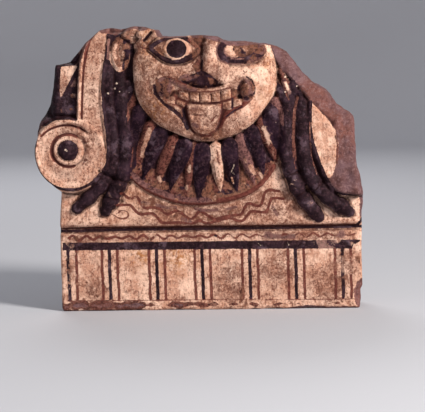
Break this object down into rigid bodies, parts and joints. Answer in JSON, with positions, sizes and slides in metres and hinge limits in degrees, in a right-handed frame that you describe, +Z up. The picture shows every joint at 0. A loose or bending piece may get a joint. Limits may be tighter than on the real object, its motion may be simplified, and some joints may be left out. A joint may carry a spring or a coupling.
{
  "type": "antefix",
  "caption": "Fired clay roof-edge plaque with a painted gorgon mask in relief on a banded base, broken at the top and right, with the stub of its cover tile behind.",
  "frame": {"origin": "centre of the base's underside, midway between the plaque's front field and its flat back", "axes": "+Z up, the relief faces -Y, the stub of the cover tile runs back along +Y, +X to the viewer's right"},
  "size_m": [0.2715, 0.1033, 0.2368],
  "materials": {
    "painted_terracotta": "matt fired clay with a worn cream slip and dark purple, red-brown and black paint"
  },
  "bodies": {
    "root": {"antefix": "painted_terracotta"}
  },
  "joints": []
}
